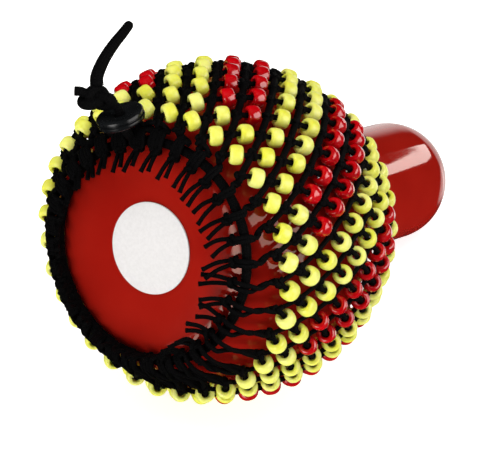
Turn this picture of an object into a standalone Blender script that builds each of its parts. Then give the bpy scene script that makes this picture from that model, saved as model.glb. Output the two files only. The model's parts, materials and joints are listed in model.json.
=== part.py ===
"""A gourd-shaped cabasa lying on its side, in a loose net of cord and pony beads.

Every piece is drawn in the gourd's own frame: the base face at height zero, the handle along +Z.
One empty then lays the gourd down, on the beads of its belly and the end of its handle.
"""
import math

import bmesh
import bpy
from mathutils import Vector

# Gourd body, in metres
BELLY_RADIUS = 0.069
BASE_FLAT_RADIUS = 0.0416
BASE_FILLET = 0.0119
HANDLE_RADIUS = 0.0286
BODY_LENGTH = 0.2301
NECK_FILLET = 0.018
WALL = 0.003
BODY_SIDES = 32

# Base plate: the seam lies on the rounded edge, this far round from the base face
SEAM_ANGLE = math.radians(27)
LIP_WIDTH = 0.003
LIP_HEIGHT = 0.005
BADGE_RADIUS = 0.0204
BADGE_THICKNESS = 0.0006

# Net: strands that slant round the belly, with a bead at each row and a knot between rows
STRANDS = 32
ROWS = 10
ROW_STEP = math.radians(5.96)
ROW_TWIST = math.radians(6.18)
FIRST_ROW_HEIGHT = 0.0116
FIRST_STRAND_ANGLE = math.radians(253.6)
NET_LEAN = 0.0107
NET_LEAN_ANGLE = math.radians(86)
NET_BUNCH = math.radians(3.5)
NET_BUNCH_ANGLE = math.radians(18)
NET_SLACK = 0.0004
NET_FLARE = 0.0215
BEAD_RADIUS = 0.0045
BEAD_LENGTH = 0.006
NET_CORD_RADIUS = 0.001
STRAND_SIDES = 5
CROSS_CORD_TAPER = 0.3
CROSS_CORD_SHORT = 0.0034
HEM_LOOP_SHIFT = math.radians(3.4)
TASSEL_LENGTH = 0.0103
TASSEL_LIFT = 0.0016

# Cord rings that the net hangs between
HEM_CORD_RADIUS = 0.0022
HEM_ANGLE = math.radians(24.2)
HEM_SIDES = 48
NECK_CORD_RADIUS = 0.0016
NECK_RING_RISE = 0.0035
CORD_SIDES = 6

# Drawstring, its lock disc and its knot
DRAWSTRING_RADIUS = 0.002
DRAWSTRING_ANGLE = math.radians(245.8)
LOCK_RADIUS = 0.0105
LOCK_THICKNESS = 0.005
LOCK_DISH = 0.0012
LOCK_GROOVE = 0.0006
LOCK_BORE_CLEARANCE = 0.0005
LOCK_SIDES = 24
KNOT_RADIUS = 0.0056
TAIL_RADIUS = 0.0024
STUB_RADIUS = 0.0021

# Gap between pieces that touch
FIT_GAP = 0.0003

# Routes of the drawstring, from the point where it leaves the hem
LEAD_START = Vector((0.0006, -0.0020, -0.0029))
LOCK_AXIS = Vector((-0.319, -0.872, -0.363)).normalized()
LOCK_OFFSET = Vector((-0.0004, -0.0123, -0.0127))
LOCK_STRAIGHT = 0.0062
KNOT_OFFSET = Vector((-0.0098, -0.0181, -0.0192))
TAIL_ROUTE = (
    (-0.0132, -0.0269, -0.0177),
    (-0.0137, -0.0318, -0.0155),
    (-0.0135, -0.0366, -0.0129),
    (-0.0129, -0.0417, -0.0094),
    (-0.0122, -0.0456, -0.0063),
    (-0.0117, -0.0503, -0.0024),
)
STUB_ROUTE = (
    (-0.0155, -0.0204, -0.0240),
    (-0.0178, -0.0200, -0.0255),
)

# Sizes that follow from the ones above
BELLY_HEIGHT = BASE_FILLET + math.sqrt((BELLY_RADIUS - BASE_FILLET) ** 2 - BASE_FLAT_RADIUS ** 2)
NECK_REACH = HANDLE_RADIUS + NECK_FILLET
NECK_HEIGHT = BELLY_HEIGHT + math.sqrt((BELLY_RADIUS + NECK_FILLET) ** 2 - NECK_REACH ** 2)
NECK_ANGLE = math.atan2(NECK_HEIGHT - BELLY_HEIGHT, NECK_REACH)
RIM_ANGLE = math.atan2(BASE_FILLET - BELLY_HEIGHT, BASE_FLAT_RADIUS)
HANDLE_CENTRE = BODY_LENGTH - HANDLE_RADIUS
NET_BELLY_RADIUS = BELLY_RADIUS + NET_SLACK + BEAD_RADIUS
NET_ARC_RADIUS = NET_BELLY_RADIUS + NET_FLARE
FIRST_ROW_LIFT = math.asin((FIRST_ROW_HEIGHT - BELLY_HEIGHT) / NET_ARC_RADIUS)
STRAND_STEP = 2 * math.pi / STRANDS
HEM_REACH = BASE_FILLET + HEM_CORD_RADIUS + FIT_GAP
HEM_RADIUS = BASE_FLAT_RADIUS + HEM_REACH * math.sin(HEM_ANGLE)
HEM_HEIGHT = BASE_FILLET - HEM_REACH * math.cos(HEM_ANGLE)
NECK_RING_RADIUS = HANDLE_RADIUS + FIT_GAP + NECK_CORD_RADIUS
NECK_RING_HEIGHT = NECK_HEIGHT + NECK_RING_RISE

BLACK_CORD = ((0.012, 0.012, 0.013, 1.0), 0.8)
YELLOW_BEAD = ((0.83, 0.80, 0.08, 1.0), 0.4)
RED_BEAD = ((0.55, 0.0, 0.006, 1.0), 0.15)
RED_LACQUER = ((0.32, 0.004, 0.006, 1.0), 0.08)
WHITE_LABEL = ((0.85, 0.83, 0.82, 1.0), 0.4)
BLACK_PLASTIC = ((0.01, 0.01, 0.011, 1.0), 0.2)


def clear_scene():
    for item in list(bpy.data.objects):
        bpy.data.objects.remove(item)


def add_collection(name):
    collection = bpy.data.collections.new(name)
    bpy.context.scene.collection.children.link(collection)
    return collection


def add_material(name, finish):
    colour, roughness = finish
    material = bpy.data.materials.new(name)
    material.use_nodes = True
    shader = material.node_tree.nodes["Principled BSDF"]
    shader.inputs["Base Color"].default_value = colour
    shader.inputs["Roughness"].default_value = roughness
    shader.inputs["Metallic"].default_value = 0.0
    return material


def add_part(name, data, finish=None):
    part = bpy.data.objects.new(name, data)
    parts.objects.link(part)
    part.parent = gourd_frame
    if finish is not None:
        data.materials.append(add_material(name + "_finish", finish))
    return part


def polar(centre, radius, angle):
    return (centre[0] + radius * math.cos(angle), centre[1] + radius * math.sin(angle))


def arc(centre, radius, first, last, steps):
    points = []
    for step in range(steps + 1):
        points.append(polar(centre, radius, first + (last - first) * step / steps))
    return points


def turned_mesh(name, profile, sides, closed=False):
    mesh = bpy.data.meshes.new(name)
    form = bmesh.new()
    corners = [form.verts.new((radius, 0.0, height)) for radius, height in profile]
    for first, second in zip(corners, corners[1:]):
        form.edges.new((first, second))
    if closed:
        form.edges.new((corners[-1], corners[0]))
    form.to_mesh(mesh)
    form.free()
    blank = bpy.data.objects.new(name, mesh)
    bpy.context.scene.collection.objects.link(blank)
    screw = blank.modifiers.new("Turn", "SCREW")
    screw.steps = sides
    screw.render_steps = sides
    screw.use_merge_vertices = True
    screw.merge_threshold = 0.00001
    turned = mesh_of(blank)
    turned.shade_smooth()
    turned.set_sharp_from_angle(angle=math.radians(35))
    return turned


def mesh_of(item):
    """Take the finished mesh of an object, weld its loose caps and remove the object."""
    bpy.context.view_layer.update()
    ready = item.evaluated_get(bpy.context.evaluated_depsgraph_get())
    mesh = bpy.data.meshes.new_from_object(ready)
    mesh.name = item.name
    bpy.data.objects.remove(item)
    form = bmesh.new()
    form.from_mesh(mesh)
    bmesh.ops.remove_doubles(form, verts=form.verts, dist=0.00001)
    bmesh.ops.recalc_face_normals(form, faces=form.faces)
    form.to_mesh(mesh)
    form.free()
    return mesh


def gourd_outline(inset, seam):
    """The gourd's outline from the tip of the handle down to the seam, drawn inset from the outside."""
    tip = (0.0, HANDLE_CENTRE)
    neck = (NECK_REACH, NECK_HEIGHT)
    belly = (0.0, BELLY_HEIGHT)
    rim = (BASE_FLAT_RADIUS, BASE_FILLET)
    outline = arc(tip, HANDLE_RADIUS - inset, math.pi / 2, 0.0, 6)
    outline[0] = (0.0, BODY_LENGTH - inset)
    outline += arc(neck, NECK_FILLET + inset, math.pi, math.pi + NECK_ANGLE, 4)
    outline += arc(belly, BELLY_RADIUS - inset, NECK_ANGLE, RIM_ANGLE, 9)[1:]
    outline += arc(rim, BASE_FILLET - inset, RIM_ANGLE, seam, 2)[1:]
    return outline


def make_body_shell():
    seam = SEAM_ANGLE - math.pi / 2
    outside = gourd_outline(0.0, seam)
    inside = gourd_outline(WALL, seam)
    profile = outside + inside[::-1]
    add_part("body_shell", turned_mesh("body_shell", profile, BODY_SIDES), RED_LACQUER)


def make_base_plate():
    rim = (BASE_FLAT_RADIUS, BASE_FILLET)
    inner_radius = BASE_FILLET - WALL
    inner_corner = polar(rim, inner_radius, SEAM_ANGLE - math.pi / 2 - FIT_GAP / inner_radius)
    lip_outside = inner_corner[0] - FIT_GAP
    lip_top = inner_corner[1] + LIP_HEIGHT
    profile = [(0.0, WALL), (lip_outside - LIP_WIDTH, WALL)]
    profile += [(lip_outside - LIP_WIDTH, lip_top), (lip_outside, lip_top), inner_corner]
    profile += arc(rim, BASE_FILLET, SEAM_ANGLE - math.pi / 2 - FIT_GAP / BASE_FILLET, -math.pi / 2, 2)
    profile += [(0.0, 0.0)]
    add_part("base_plate", turned_mesh("base_plate", profile, BODY_SIDES), RED_LACQUER)


def make_base_badge():
    back = -FIT_GAP
    front = back - BADGE_THICKNESS
    profile = [(0.0, back), (BADGE_RADIUS, back), (BADGE_RADIUS, front), (0.0, front)]
    add_part("base_badge", turned_mesh("base_badge", profile, BODY_SIDES), WHITE_LABEL)


def make_cord_ring(name, ring_radius, cord_radius, height, sides):
    bpy.ops.mesh.primitive_torus_add(
        major_radius=ring_radius, minor_radius=cord_radius, major_segments=sides, minor_segments=CORD_SIDES)
    ring = bpy.context.object
    ring.data.shade_smooth()
    mesh = ring.data
    bpy.data.objects.remove(ring)
    part = add_part(name, mesh, BLACK_CORD)
    part.location.z = height


def round_point(radius, height, turn):
    return Vector((radius * math.cos(turn), radius * math.sin(turn), height))


def strand_turn(strand, row):
    """Angle round the gourd of a strand at a row; the strands bunch a little on one side."""
    turn = FIRST_STRAND_ANGLE + strand * STRAND_STEP + row * ROW_TWIST
    return turn + NET_BUNCH * math.cos(turn - NET_BUNCH_ANGLE)


def strand_point(strand, row):
    """Point on a strand's middle line at a row; knots lie half a row between beads.

    The loose net leans: its lower side has slipped towards the handle and its upper side towards the base.
    The lean is greatest at the hem and dies out at the neck ring.
    """
    turn = strand_turn(strand, row)
    lean = NET_LEAN * math.cos(turn - NET_LEAN_ANGLE) * (1 - row / ROWS)
    lift = FIRST_ROW_LIFT + row * ROW_STEP + lean / NET_ARC_RADIUS
    radius = NET_ARC_RADIUS * math.cos(lift) - NET_FLARE
    height = BELLY_HEIGHT + NET_ARC_RADIUS * math.sin(lift)
    return round_point(radius, height, turn)


def bead_end(strand, row, side):
    along = (strand_point(strand, row + 0.5) - strand_point(strand, row - 0.5)).normalized()
    return strand_point(strand, row) + along * side * BEAD_LENGTH / 2


def tassel_route(strand):
    """The strand's cut end: over the front of the hem and in across the base."""
    turn = strand_turn(strand, -0.5) + HEM_LOOP_SHIFT
    clear = HEM_CORD_RADIUS + NET_CORD_RADIUS
    outer = round_point(HEM_RADIUS + 1.4 * clear, HEM_HEIGHT - 0.74 * clear, turn)
    front = round_point(HEM_RADIUS - 0.47 * clear, HEM_HEIGHT - 1.36 * clear, turn)
    tip = round_point(HEM_RADIUS - TASSEL_LENGTH, -TASSEL_LIFT, turn)
    return [tip, front, outer]


def strand_route(strand):
    """Points and radii of one strand, from its cut end over the base up to the neck ring."""
    route = [(point, NET_CORD_RADIUS) for point in tassel_route(strand)]
    route.append((strand_point(strand, -0.5), NET_CORD_RADIUS))
    for row in range(ROWS):
        route.append((bead_end(strand, row, -1), BEAD_RADIUS))
        route.append((bead_end(strand, row, 1), BEAD_RADIUS))
        route.append((strand_point(strand, row + 0.5), NET_CORD_RADIUS))
    turn = strand_turn(strand, ROWS)
    ring = round_point(NECK_RING_RADIUS, NECK_RING_HEIGHT, turn)
    outward = (route[-1][0] - ring).normalized()
    route.append((ring + outward * (NECK_CORD_RADIUS + 2 * FIT_GAP), NET_CORD_RADIUS))
    return route


def tube_curve(name, points, radii, smooth=False):
    curve = bpy.data.curves.new(name, "CURVE")
    curve.dimensions = "3D"
    curve.use_fill_caps = True
    spline = curve.splines.new("POLY")
    spline.points.add(len(points) - 1)
    for slot, point, radius in zip(spline.points, points, radii):
        slot.co = (point[0], point[1], point[2], 1.0)
        slot.radius = radius
    spline.use_smooth = smooth
    return curve


def strand_section():
    """The flat-sided outline that a strand's beads and cord are swept with."""
    outline = bpy.data.curves.new("strand_section", "CURVE")
    spline = outline.splines.new("POLY")
    spline.points.add(STRAND_SIDES - 1)
    spline.use_cyclic_u = True
    for index, slot in enumerate(spline.points):
        angle = 2 * math.pi * index / STRAND_SIDES
        slot.co = (math.cos(angle), math.sin(angle), 0.0, 1.0)
    section = bpy.data.objects.new("strand_section", outline)
    guides.objects.link(section)
    section.hide_render = True
    section.display_type = "WIRE"
    return section


def add_cross_cords(form, strand):
    """Draw a cord from the knot below each bead to just short of the next knot on the strand beside it."""
    for row in range(ROWS):
        knot = strand_point(strand, row - 0.5)
        start = knot.lerp(bead_end(strand, row, -1), 0.5)
        target = strand_point(strand - 1, row + 0.5)
        stop = target + (knot - target).normalized() * CROSS_CORD_SHORT
        near = [face for face in form.faces if (face.calc_center_median() - start).length < 0.6 * BEAD_RADIUS]
        side = max(near, key=lambda face: face.normal.dot(stop - start))
        drawn = bmesh.ops.extrude_discrete_faces(form, faces=[side])["faces"][0]
        middle = drawn.calc_center_median()
        for corner in drawn.verts:
            corner.co = stop + (corner.co - middle) * CROSS_CORD_TAPER


def is_red(strand, row):
    """The end rows are yellow; between them pairs of red and yellow stripes cross the strands."""
    return 2 <= row < ROWS - 1 and (strand + row) % 4 in (0, 3)


def paint_strand(mesh, strand):
    """Give the cord and each bead its own finish."""
    for face in mesh.polygons:
        face.material_index = 0
        for row in range(ROWS):
            near = (face.center - strand_point(strand, row)).length < BEAD_RADIUS
            if near and face.area > BEAD_LENGTH * BEAD_RADIUS / 2:
                face.material_index = 2 if is_red(strand, row) else 1


def strand_mesh(name, strand, section):
    points, radii = zip(*strand_route(strand))
    curve = tube_curve(name, points, radii)
    curve.bevel_mode = "OBJECT"
    curve.bevel_object = section
    sweep = bpy.data.objects.new(name, curve)
    bpy.context.scene.collection.objects.link(sweep)
    mesh = mesh_of(sweep)
    form = bmesh.new()
    form.from_mesh(mesh)
    add_cross_cords(form, strand)
    bmesh.ops.recalc_face_normals(form, faces=form.faces)
    form.to_mesh(mesh)
    form.free()
    mesh.materials.clear()
    return mesh


def make_net_strands():
    """Strands all round the gourd, with the cord and the two colours of bead as their finishes."""
    finishes = [add_material("net_cord_finish", BLACK_CORD)]
    finishes.append(add_material("yellow_bead_finish", YELLOW_BEAD))
    finishes.append(add_material("red_bead_finish", RED_BEAD))
    section = strand_section()
    for strand in range(STRANDS):
        name = "net_strand_%02d" % (strand + 1)
        mesh = strand_mesh(name, strand, section)
        for finish in finishes:
            mesh.materials.append(finish)
        paint_strand(mesh, strand)
        add_part(name, mesh)


def hem_exit():
    return round_point(HEM_RADIUS, HEM_HEIGHT, DRAWSTRING_ANGLE)


def smooth_route(knots, spacing):
    """Points at even steps on a smooth curve through the route's own points."""
    padded = [2 * knots[0] - knots[1]] + list(knots) + [2 * knots[-1] - knots[-2]]
    points = []
    for index in range(1, len(padded) - 2):
        before, first, last, after = padded[index - 1:index + 3]
        steps = max(1, round((last - first).length / spacing))
        for step in range(steps):
            share = step / steps
            bend = 2 * first + (last - before) * share
            bend += (2 * before - 5 * first + 4 * last - after) * share ** 2
            bend += (3 * first - before - 3 * last + after) * share ** 3
            points.append(bend / 2)
    points.append(knots[-1])
    return points


def make_cord_tube(name, knots, radius, spacing, sides_setting):
    points = smooth_route(knots, spacing)
    curve = tube_curve(name, points, [1.0] * len(points), smooth=True)
    curve.bevel_depth = radius
    curve.bevel_resolution = sides_setting
    add_part(name, curve, BLACK_CORD)


def lock_centre():
    return hem_exit() + LOCK_OFFSET


def knot_centre():
    return hem_exit() + KNOT_OFFSET


def seated_on_knot(point):
    """Point a fit gap off the knot's surface, on the line towards a point of the cord."""
    away = (point - knot_centre()).normalized()
    return knot_centre() + away * (KNOT_RADIUS + FIT_GAP)


def make_drawstring_lead():
    straight = [lock_centre() - LOCK_AXIS * LOCK_STRAIGHT, lock_centre(), lock_centre() + LOCK_AXIS * LOCK_THICKNESS]
    knots = [hem_exit() + LEAD_START] + straight + [seated_on_knot(straight[-1])]
    make_cord_tube("drawstring_lead", knots, DRAWSTRING_RADIUS, 2.2 * DRAWSTRING_RADIUS, 2)


def make_drawstring_tail():
    route = [hem_exit() + Vector(offset) for offset in TAIL_ROUTE]
    make_cord_tube("drawstring_tail", [seated_on_knot(route[0])] + route, TAIL_RADIUS, 2.2 * TAIL_RADIUS, 2)


def make_drawstring_stub():
    route = [hem_exit() + Vector(offset) for offset in STUB_ROUTE]
    make_cord_tube("drawstring_stub", [seated_on_knot(route[0])] + route, STUB_RADIUS, STUB_RADIUS, 2)


def make_drawstring_knot():
    mesh = bpy.data.meshes.new("drawstring_knot")
    form = bmesh.new()
    bmesh.ops.create_uvsphere(form, u_segments=16, v_segments=10, radius=KNOT_RADIUS)
    form.to_mesh(mesh)
    form.free()
    mesh.shade_smooth()
    knot = add_part("drawstring_knot", mesh, BLACK_CORD)
    knot.location = knot_centre()


def make_cord_lock():
    """A round disc with a dished top, a groove round its edge and a bore for the drawstring."""
    half = LOCK_THICKNESS / 2
    bore = DRAWSTRING_RADIUS + LOCK_BORE_CLEARANCE
    groove = LOCK_RADIUS - LOCK_GROOVE
    profile = [(bore, half - LOCK_DISH), (bore + LOCK_DISH, half - LOCK_DISH)]
    profile += [(LOCK_RADIUS - 2 * LOCK_DISH, half), (LOCK_RADIUS - LOCK_DISH, half), (LOCK_RADIUS, half - LOCK_DISH)]
    profile += [(LOCK_RADIUS, LOCK_GROOVE), (groove, 0.0), (LOCK_RADIUS, -LOCK_GROOVE)]
    profile += [(LOCK_RADIUS, LOCK_DISH - half), (LOCK_RADIUS - LOCK_DISH, -half), (bore, -half)]
    lock = add_part("cord_lock", turned_mesh("cord_lock", profile, LOCK_SIDES, closed=True), BLACK_PLASTIC)
    lock.location = lock_centre()
    lock.rotation_mode = "QUATERNION"
    lock.rotation_quaternion = LOCK_AXIS.to_track_quat("Z", "Y")


def resting_tilt():
    """Angle that the handle dips by when the belly's beads and the handle's end both touch the ground."""
    fall = NET_ARC_RADIUS + BEAD_RADIUS - HANDLE_RADIUS
    reach = math.hypot(HANDLE_CENTRE - BELLY_HEIGHT, NET_FLARE)
    return math.asin(fall / reach) - math.atan2(NET_FLARE, HANDLE_CENTRE - BELLY_HEIGHT)


def lay_down():
    """Tilt the gourd onto its side, then set the middle of its footprint on the origin."""
    gourd_frame.rotation_euler.x = -math.pi / 2 - resting_tilt()
    bpy.context.view_layer.update()
    corners = []
    depsgraph = bpy.context.evaluated_depsgraph_get()
    for part in parts.objects:
        if part.type == "MESH" and part.name not in ("cord_lock", "drawstring_knot"):
            ready = part.evaluated_get(depsgraph)
            corners += [ready.matrix_world @ vertex.co for vertex in ready.data.vertices]
    middles = []
    for axis in (0, 1):
        values = [corner[axis] for corner in corners]
        middles.append((min(values) + max(values)) / 2)
    lowest = min(corner.z for corner in corners)
    gourd_frame.location = (-middles[0], -middles[1], -lowest)
    bpy.context.view_layer.update()


clear_scene()
parts = add_collection("cabasa")
guides = add_collection("guides")
gourd_frame = bpy.data.objects.new("gourd_frame", None)
parts.objects.link(gourd_frame)
make_body_shell()
make_base_plate()
make_base_badge()
make_cord_ring("neck_ring", NECK_RING_RADIUS, NECK_CORD_RADIUS, NECK_RING_HEIGHT, BODY_SIDES)
make_cord_ring("hem_ring", HEM_RADIUS, HEM_CORD_RADIUS, HEM_HEIGHT, HEM_SIDES)
make_net_strands()
make_drawstring_lead()
make_cord_lock()
make_drawstring_knot()
make_drawstring_tail()
make_drawstring_stub()
lay_down()
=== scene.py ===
"""Looks of the cabasa: a lacquered gourd in a loose net of cord and pony beads, on a pale studio floor.

Every piece is drawn in the gourd's own frame: the base face at height zero, the handle along +Z.
Its corners are then laid down with the solids, so each piece sits where its solid is.
"""
import json
import math
import random

import bmesh
import bpy
from mathutils import Matrix, Vector


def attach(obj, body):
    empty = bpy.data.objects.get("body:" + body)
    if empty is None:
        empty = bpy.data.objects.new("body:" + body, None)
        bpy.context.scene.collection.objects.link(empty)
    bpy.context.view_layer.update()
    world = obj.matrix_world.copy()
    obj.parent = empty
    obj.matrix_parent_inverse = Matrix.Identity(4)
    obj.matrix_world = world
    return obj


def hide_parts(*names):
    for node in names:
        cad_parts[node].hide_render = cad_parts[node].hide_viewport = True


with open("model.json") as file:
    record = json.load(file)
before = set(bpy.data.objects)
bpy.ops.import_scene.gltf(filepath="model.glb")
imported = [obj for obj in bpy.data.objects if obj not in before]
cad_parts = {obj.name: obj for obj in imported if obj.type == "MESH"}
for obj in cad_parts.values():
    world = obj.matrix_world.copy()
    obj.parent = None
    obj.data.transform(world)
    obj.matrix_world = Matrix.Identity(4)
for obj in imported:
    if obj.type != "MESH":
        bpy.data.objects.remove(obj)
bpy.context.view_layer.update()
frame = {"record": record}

# Gourd body, in metres
BELLY_RADIUS = 0.069
BASE_FLAT_RADIUS = 0.0416
BASE_FILLET = 0.0119
HANDLE_RADIUS = 0.0286
BODY_LENGTH = 0.2301
NECK_FILLET = 0.018
WALL = 0.003
SEAM_ANGLE = math.radians(27)
LIP_WIDTH = 0.003
LIP_HEIGHT = 0.005
BADGE_RADIUS = 0.0204
BADGE_THICKNESS = 0.0006
BADGE_EDGE = 0.0002
BODY_STEPS = 144
OUTSIDE_STEPS = 24
INSIDE_STEPS = 8
BADGE_EDGE_STEPS = 4

# Net of beaded strands
STRANDS = 32
ROWS = 10
ROW_STEP = math.radians(5.96)
ROW_TWIST = math.radians(6.18)
FIRST_ROW_HEIGHT = 0.0116
FIRST_STRAND_ANGLE = math.radians(253.6)
NET_LEAN = 0.0107
NET_LEAN_ANGLE = math.radians(86)
NET_BUNCH = math.radians(3.5)
NET_BUNCH_ANGLE = math.radians(18)
NET_SLACK = 0.0004
NET_FLARE = 0.0215
BEAD_RADIUS = 0.0045
BEAD_LENGTH = 0.006
BEAD_WORN = 0.97
BEAD_HOLE = 0.0018
BEAD_LIP = ((0.0, 0.5), (0.0001, 0.8), (0.0004, 0.95), (0.0008, 1.0))
BEAD_BARREL = ((0.76, 0.97), (0.87, 0.87), (0.95, 0.68), (0.99, 0.38))
BEAD_STEPS = 24
BEAD_SHIFT = 0.0004
BEAD_TILT = math.radians(7)
BEAD_TIP = math.radians(26)
BEAD_TIP_ASIDE = 0.6
BEAD_TIP_ROW = 4
BEAD_TIP_ROWS = 3.5
BEAD_TIP_LIFT = 0.0012
LEG_RADIUS = 0.0012
LEG_SPACING = 0.0015
BARE_LEG_RADIUS = 0.00105
BARE_LEG_UPPER = 0.65
BARE_LEG_SAG = 0.0008
BARE_LEG_SAG_RANGE = (-1.0, 0.3)
BARE_LEG_SPACING = 0.0022
KNOT_SCALE = 0.00072
KNOT_SCALE_RANGE = (0.9, 1.1)
KNOT_DEPTH = 1.2
KNOT_LOLL = 0.5
KNOT_TUCK = 0.0014
KNOT_CORD_RADIUS = 0.0011
NET_CORD_RADIUS = 0.001
NET_SEED = 100

# Cord rings at the hem and the neck
HEM_CORD_RADIUS = 0.0022
HEM_ANGLE = math.radians(24.2)
HEM_SLIP = math.radians(11)
HEM_SLIP_POWER = 8
HEM_STRAND_STEPS = 8
HEM_WANDER = 0.00015
HEM_SQUEEZE = 0.06
HEM_SEED = 7
NECK_CORD_RADIUS = 0.0016
NECK_RING_RISE = 0.0035
NECK_RING_STEPS = 240
NECK_RING_TWISTS = 24
NECK_HOOK_ANGLES = (-60, -10, 40, 80)
NECK_HOOK_SPACING = 0.0016

# Loops of the net round the hem; their bends lie outside and below it, in shares of the two cords' radii
HEM_LOOP_SHIFT = math.radians(3.4)
HEM_LOOP_LENGTH = 0.0148
HEM_LOOP_SPREAD = 0.0008
HEM_LOOP_RADIUS = 0.0011
HEM_LOOP_BENDS = ((1.4, 0.74), (0.45, 1.3), (-0.47, 1.36))
HEM_LOOP_STEPS = 6
HEM_LOOP_SPACING = 0.0014
LOOP_FAN = 0.0019
LOOP_FAN_ANGLE = math.radians(60)
SLACK_ANGLE = math.radians(165)
SLACK_LOOPS = ((-0.6, 1), (-0.3, -1))
SLACK_SWING = 0.001
SLACK_SAG = 0.6
SLACK_BOW = 0.0042
SLACK_BOW_RANGE = (0.7, 1.2)
SLACK_SPREAD = 0.5

# Knots of the loops and their cut ends, which differ on the right, left and low sides of the base
LOOP_KNOT_SCALE = 0.0007
LOOP_KNOT_SCALE_RANGE = (0.92, 1.1)
LOOP_KNOT_DEPTH = 1.3
LOOP_KNOT_INWARD = 0.0035
LOOP_KNOT_INWARD_RIGHT = 0.0014
LOOP_KNOT_INWARD_LOW = 0.002
LOOP_KNOT_OFF = 0.0035
LOOP_KNOT_OFF_RIGHT = 0.0006
TASSEL_CORD_RADIUS = 0.001
TASSEL_FRAY = 1.15
TASSEL_LENGTH = 0.0105
TASSEL_LENGTH_RANGE = (0.8, 1.2)
TASSEL_EVEN_SHARE = 0.85
TASSEL_LONG_SHARE = 0.25
TASSEL_LONG_ANGLE = math.radians(335)
TASSEL_SWAY = 0.25
TASSEL_RISE = 0.55
TASSEL_RISE_RANGE = (0.7, 1.2)
TASSEL_RISE_LEFT = 0.5
TASSEL_DROOP = 1.1
TASSEL_DROOP_RANGE = (0.2, 1.2)
TASSEL_LOW_LOSS = 0.7
TASSEL_SPACING = 0.0016

# Drawstring, its lock disc and its knot
DRAWSTRING_RADIUS = 0.002
DRAWSTRING_ANGLE = math.radians(245.8)
LOCK_RADIUS = 0.0105
LOCK_THICKNESS = 0.005
LOCK_DISH = 0.0012
LOCK_DISH_STEPS = 9
LOCK_LIP_ANGLE = 0.6 * math.pi
LOCK_GROOVE = 0.0006
LOCK_GROOVE_FLOOR = 0.15
LOCK_BORE_CLEARANCE = 0.0005
LOCK_BORE_EDGE = 0.0005
LOCK_STEPS = 72
KNOT_RADIUS = 0.0056
TAIL_WIDE_RADIUS = 0.0030
TAIL_TIP_RADIUS = 0.0021
TAIL_END_SHARES = (0.94, 0.62)
TAIL_SPACING = 0.0011
STUB_RADIUS = 0.0021
STUB_SPACING = 0.0008
LEAD_SPACING = 0.001
FIT_GAP = 0.0003
LEAD_START = Vector((0.0006, -0.0020, -0.0029))
LOCK_AXIS = Vector((-0.319, -0.872, -0.363)).normalized()
LOCK_OFFSET = Vector((-0.0004, -0.0123, -0.0127))
LOCK_STRAIGHT = 0.0062
KNOT_OFFSET = Vector((-0.0098, -0.0181, -0.0192))
TAIL_ROUTE = (
    (-0.0132, -0.0269, -0.0177),
    (-0.0137, -0.0318, -0.0155),
    (-0.0135, -0.0366, -0.0129),
    (-0.0129, -0.0417, -0.0094),
    (-0.0122, -0.0456, -0.0063),
    (-0.0117, -0.0503, -0.0024),
)
STUB_ROUTE = (
    (-0.0155, -0.0204, -0.0240),
    (-0.0178, -0.0200, -0.0255),
)
OVERHAND_WIDTH = Vector((0.811, -0.203, 0.549))
OVERHAND_HEIGHT = Vector((-0.341, -0.926, 0.161))
OVERHAND_SIZE = (0.00225, 0.00125, 0.0017)
OVERHAND_CORD_RADIUS = 0.0025
OVERHAND_STEPS = 72

# Meshes and finishes
THIN_CORD_SIDES = 7
THICK_CORD_SIDES = 14
WIDE_CORD_SIDES = 16
EDGE_STEPS = 8
CREASE_ANGLE = math.radians(45)
MERGE_DISTANCE = 0.000001
NOISE_LOW = 0.3
NOISE_HIGH = 0.7

# Camera, in the gourd's frame, from the middle of the base
CAMERA_RIGHT = Vector((0.8108, -0.2034, 0.5488))
CAMERA_FORWARD = Vector((-0.4755, 0.3178, 0.8203))
CAMERA_DISTANCE = 1.25
CAMERA_ASIDE = 0.04286
CAMERA_ABOVE = 0.00458
CAMERA_LENS = 206.9
CAMERA_SENSOR = 36.0

# Room light and floor; a card is an azimuth, an elevation, the angles of its fade and a brightness
ROOM_LIGHT = 0.008
ROOM_CARDS = (
    (103, -17, 19, 24, 1.1),
    (79, -27, 6, 15, 1.4),
    (-92, -3, 13, 27, 5.3),
)
LIGHT_COLOUR = (1.0, 0.97, 0.94)
LIGHT_TARGET = Vector((0.0, 0.0, 0.08))
FLOOR_GLOW = 0.8
FLOOR_RINGS = (0.0, 0.4, 1.6)
FLOOR_STEPS = 96
FLOOR_DROP = 0.0003

# Sizes that follow from the ones above
BELLY_HEIGHT = BASE_FILLET + math.sqrt((BELLY_RADIUS - BASE_FILLET) ** 2 - BASE_FLAT_RADIUS ** 2)
NECK_REACH = HANDLE_RADIUS + NECK_FILLET
NECK_HEIGHT = BELLY_HEIGHT + math.sqrt((BELLY_RADIUS + NECK_FILLET) ** 2 - NECK_REACH ** 2)
NECK_ANGLE = math.atan2(NECK_HEIGHT - BELLY_HEIGHT, NECK_REACH)
RIM_ANGLE = math.atan2(BASE_FILLET - BELLY_HEIGHT, BASE_FLAT_RADIUS)
HANDLE_CENTRE = BODY_LENGTH - HANDLE_RADIUS
NET_ARC_RADIUS = BELLY_RADIUS + NET_SLACK + BEAD_RADIUS + NET_FLARE
FIRST_ROW_LIFT = math.asin((FIRST_ROW_HEIGHT - BELLY_HEIGHT) / NET_ARC_RADIUS)
STRAND_STEP = 2 * math.pi / STRANDS
HEM_REACH = BASE_FILLET + HEM_CORD_RADIUS + FIT_GAP
NECK_RING_RADIUS = HANDLE_RADIUS + FIT_GAP + NECK_CORD_RADIUS
NECK_RING_HEIGHT = NECK_HEIGHT + NECK_RING_RISE
SIDEWAYS = Vector((1.0, 0.0, 0.0))
DOWNHILL = Vector((0.0, 1.0, 0.0))
UPRIGHT = Vector((0.0, 0.0, 1.0))


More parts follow.
